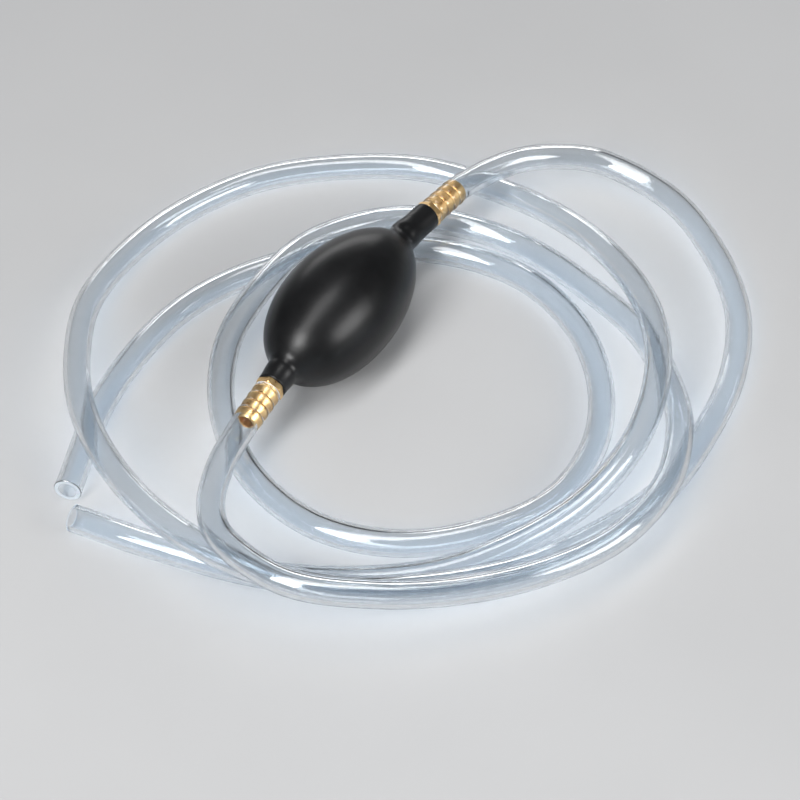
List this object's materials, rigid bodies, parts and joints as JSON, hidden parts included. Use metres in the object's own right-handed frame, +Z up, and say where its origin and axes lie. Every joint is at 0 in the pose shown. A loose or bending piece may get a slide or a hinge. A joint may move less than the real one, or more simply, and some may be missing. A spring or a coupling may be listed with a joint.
{
  "type": "siphon bulb pump",
  "caption": "Hand siphon pump: a rubber squeeze bulb with a brass barbed check-valve fitting in each neck and a clear hose on each fitting, lying loosely coiled.",
  "frame": {"origin": "on the floor under the bulb's axis, midway between the tips of the two barbed fittings", "axes": "+X along the bulb's axis from the inlet neck to the outlet neck, +Z up, +Y to the left of the flow; the coil lies mostly towards -Y"},
  "size_m": [0.262, 0.2417, 0.0437],
  "materials": {
    "bulb_rubber": "satin moulded black rubber",
    "fitting_brass": "turned, bright",
    "valve_steel": "polished stainless",
    "clear_hose": "clear flexible PVC, glossy, faint blue tint"
  },
  "bodies": {
    "pump": {"bulb_shell": "bulb_rubber", "inlet_fitting": "fitting_brass", "outlet_fitting": "fitting_brass", "inlet_valve_retainer": "fitting_brass", "outlet_valve_seat": "fitting_brass", "inlet_valve_spring": "valve_steel", "outlet_valve_spring": "valve_steel", "inlet_hose": "clear_hose", "outlet_hose": "clear_hose"},
    "press_wall": {"bulb_press_wall": "bulb_rubber"},
    "inlet_ball": {"inlet_valve_ball": "valve_steel"},
    "outlet_ball": {"outlet_valve_ball": "valve_steel"}
  },
  "joints": [
    {"name": "bulb_squeeze", "type": "slide", "parent": "pump", "child": "press_wall", "axis": [0, 0, -1], "range_m": [0, 0.0115], "stiffness_N_per_m": 600},
    {"name": "inlet_valve", "type": "slide", "parent": "pump", "child": "inlet_ball", "axis": [0.9956, 0.0871, 0.0349], "range_m": [0, 0.0015], "stiffness_N_per_m": 60, "deforming": ["inlet_valve_spring"]},
    {"name": "outlet_valve", "type": "slide", "parent": "pump", "child": "outlet_ball", "axis": [0.9956, -0.0871, -0.0349], "range_m": [0, 0.0015], "stiffness_N_per_m": 60, "deforming": ["outlet_valve_spring"]}
  ]
}
